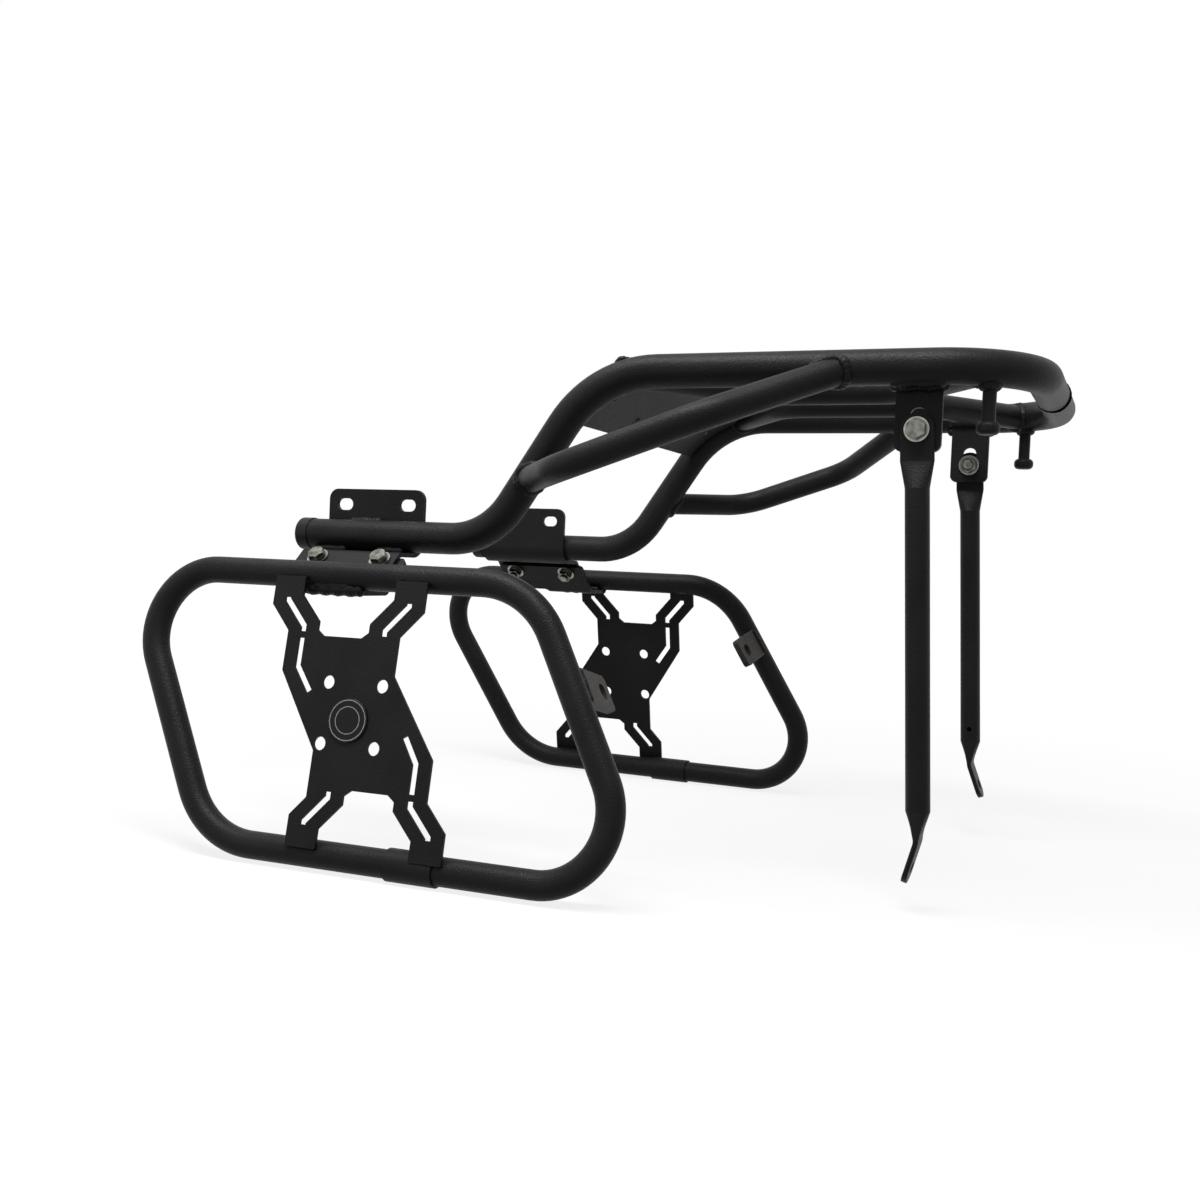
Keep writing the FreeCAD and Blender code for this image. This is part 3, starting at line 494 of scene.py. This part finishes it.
LIP_CENTRE = np.array([0, -342.3, 397.5])       # a little below and behind the tube's own centre
LIP_R, LIP_BEAD = 13.1, 1.2
w = np.linspace(0.0, 2 * np.pi, 120, endpoint=False)
circle = np.stack([0 * w, np.cos(w), np.sin(w)], axis=1)
lip = bead((LIP_CENTRE + LIP_R * circle) * MM, circle, LIP_BEAD * MM, closed=True)
# The lip is drawn in painted shade.
weld("hoop_joint_lip_painted_shade", [lip], finish=painted_shade_edge)
print("stitches on tabs, brackets, feet, backrest and hoop")

# %% [markdown]
# ## Welds on the side frames
# The side frames lean inwards and toe in, so their seams are laid out in the frame's own plane: u
# runs to the front, w up and n outwards. The plates' arms are welded on the back, where their
# edge meets the tube, and each lug on both faces.

# %% Welds on the side frames
TOE_IN, LEAN = 0.0303, 0.201        # slopes of the frame's plane
HALF_HEIGHT = 109.2                 # from the frame's middle to its top tube's centreline
TOP_X, LOW_Y, LOW_Z = -240.3, 132.5, 12.65      # x of the top tube, y and z of the bottom tube
REAR_U, REAR_SLOPE = -188, 59       # the rear upright: u at the middle, and its gain up to the top
ARM_W, ARM_N, ARM_HALF, ARM_BEAD = 102.2, 9.3, 11.5, 2.0    # an arm's stitch, half length, radius
LUG_HALF, LUG_BEAD = 13.5, 2.4      # a lug's stitch: half length, radius

outward = unit([-1.0, -TOE_IN, LEAN])
rearward = unit([TOE_IN, -1.0, 0.0])
upward = np.cross(outward, rearward)
rise = 2 * HALF_HEIGHT * upward
frame_top = np.array([TOP_X, LOW_Y + rise[1], LOW_Z + rise[2]])
frame_middle = frame_top - HALF_HEIGHT * upward


def on_frame(u, w, n):
    """The point at u, w and n from the frame's middle, in millimetres."""
    return frame_middle - u * rearward + w * upward + n * outward


def arm_beads(top, low):
    """One stitch behind each arm; top and low list the arms' middles along u."""
    beads = []
    for level, arms in ((1, top), (-1, low)):
        out = -0.93 * level * upward - 0.36 * outward
        for u in arms:
            ends = [on_frame(u + d, ARM_W * level, ARM_N) for d in (-ARM_HALF, ARM_HALF)]
            beads.append(stitch(*ends, out, ARM_BEAD))
    return beads


def lug_beads(w):
    """Two stitches along the rear upright, at the lug's rear and front face."""
    upright = unit(REAR_SLOPE * -rearward + HALF_HEIGHT * upward)
    lug_rear = np.cross(upright, outward)
    root = on_frame(REAR_U + REAR_SLOPE * w / HALF_HEIGHT, w, 0)
    beads = []
    for offset, n, out in ((9.5, -6.9, (0.95, -0.3)), (2.5, -11.1, (-0.6, -0.8))):
        middle = root + offset * lug_rear + n * outward
        ends = [middle - LUG_HALF * upright, middle + LUG_HALF * upright]
        beads.append(stitch(*ends, out[0] * lug_rear + out[1] * outward, LUG_BEAD))
    return beads


weld("left_x_plate_welds", arm_beads((77.2, -32.9), (-75.2, 32.9)))
weld("right_x_plate_welds", arm_beads((-75.2, 34.9), (77.2, -30.9)), mirror=True)
weld("left_lug_welds", lug_beads(33.5))
weld("right_lug_welds", lug_beads(47.0), mirror=True)
print("frame middle at", frame_middle.round(1), "mm")

# %% [markdown]
# ## Camera
# The photograph was taken a little over a metre away, level with the low front rails, from the
# left and a little behind. The lens follows from the picture: a view 1200 pixels wide whose focal
# length is 1285 pixels.

# %% Camera
PHOTO_WIDTH, FOCAL_PIXELS, SENSOR_MM = 1200, 1285, 36.0
STAND = (-1.107, -0.420, 0.245)     # metres
right_of_view = (0.3917, -0.9191, 0.0431)
top_of_view = (0.0089, 0.0506, 0.9987)
into_view = (0.9201, 0.3908, -0.0279)

camera_data = bpy.data.cameras.new("camera")
camera_data.sensor_width = SENSOR_MM
camera_data.lens = SENSOR_MM * FOCAL_PIXELS / PHOTO_WIDTH
camera = bpy.data.objects.new("camera", camera_data)
turn = Matrix([right_of_view, top_of_view, [-v for v in into_view]]).transposed().to_4x4()
camera.matrix_world = Matrix.Translation(STAND) @ turn
bpy.context.scene.collection.objects.link(camera)
bpy.context.scene.camera = camera
print("lens", round(camera_data.lens, 2), "mm")

# %% [markdown]
# ## Light and floor
# A black object is drawn by what it reflects. One long softbox overhead lays the grey band along
# the tops of the tubes, a narrow strip in front opens the plates, and a dim world keeps the
# undersides dark. Sky and floor are white to the camera and to reflections, yet the floor still
# takes a shadow.

# %% Light and floor
def softbox(name, place, look_at, size, watts):
    """An area lamp at place that faces look_at."""
    lamp = bpy.data.lights.new(name, "AREA")
    lamp.shape, lamp.size, lamp.size_y, lamp.energy = "RECTANGLE", *size, watts
    box = bpy.data.objects.new(name, lamp)
    box.location = place
    box.rotation_mode = "QUATERNION"
    box.rotation_quaternion = (Vector(look_at) - Vector(place)).to_track_quat("-Z", "Y")
    bpy.context.scene.collection.objects.link(box)


def looked_at(tree):
    """1 for a ray from the camera, a reflection or a pane of glass, and 0 for light on its way."""
    path = add(tree, "LightPath")
    seen = add(tree, "Math", {0: path.outputs["Is Camera Ray"], 1: path.outputs["Is Glossy Ray"]},
               operation="MAXIMUM")
    seen = add(tree, "Math", {0: seen.outputs["Value"], 1: path.outputs["Is Transmission Ray"]},
               operation="MAXIMUM")
    return seen.outputs["Value"]


MIDDLE = (0.0, 0.0, 0.22)   # of the carrier, in metres
DIM, WHITE = 0.25, 1.0      # the sky as a lamp, and as a backdrop
NEAR_LIFT = 0.84            # the floor's own glow under the carrier, where the lamps add the rest
NEAR, FAR = 0.5, 1.8        # metres between which the glow rises to white
FLOOR_HALF = 30.0           # metres from the floor's middle to its edge
softbox("overhead_softbox", (-0.6, 0.1, 1.65), MIDDLE, (1.5, 0.42), 44.0)
softbox("front_left_strip", (-1.3, 1.3, 0.7), MIDDLE, (0.3, 1.2), 2.0)

bpy.context.scene.view_settings.view_transform = "Standard"
world = bpy.data.worlds.new("studio")
bpy.context.scene.world = world
world.use_nodes = True
tree = world.node_tree
tree.nodes.clear()
level = add(tree, "MapRange", {"Value": looked_at(tree), "To Min": DIM, "To Max": WHITE})
sky = add(tree, "Background", {"Color": linear("#ffffff"), "Strength": level.outputs["Result"]})
add(tree, "OutputWorld", {"Surface": sky.outputs["Background"]})

floor_paper, tree, place, out = new_material("white_paper_floor")
reach = add(tree, "VectorMath", {0: place}, operation="LENGTH")
lift = add(tree, "MapRange", {"Value": reach.outputs["Value"], "From Min": NEAR, "From Max": FAR,
                              "To Min": NEAR_LIFT, "To Max": WHITE})
glow = add(tree, "Emission", {"Strength": lift.outputs["Result"]})
paper = add(tree, "BsdfDiffuse", {"Color": linear("#5f5f5f")})
both = add(tree, "AddShader", {0: glow.outputs["Emission"], 1: paper.outputs["BSDF"]})
mixed = add(tree, "MixShader", {0: looked_at(tree), 1: paper.outputs["BSDF"],
                                2: both.outputs["Shader"]})
tree.links.new(mixed.outputs["Shader"], out.inputs["Surface"])

floor_mesh = bpy.data.meshes.new("paper_floor")
corners = FLOOR_HALF * np.array([(-1, -1, 0), (1, -1, 0), (1, 1, 0), (-1, 1, 0)])
floor_mesh.from_pydata(corners.tolist(), [], [(0, 1, 2, 3)])
floor_mesh.materials.append(floor_paper)
floor = bpy.data.objects.new("paper_floor", floor_mesh)
bpy.context.scene.collection.objects.link(floor)
print("lamps and floor ready")

# %% [markdown]
# ## End
# The CAD model's box is measured and printed at the start; this cell prints a closing line.

# %% End
print("scene built")
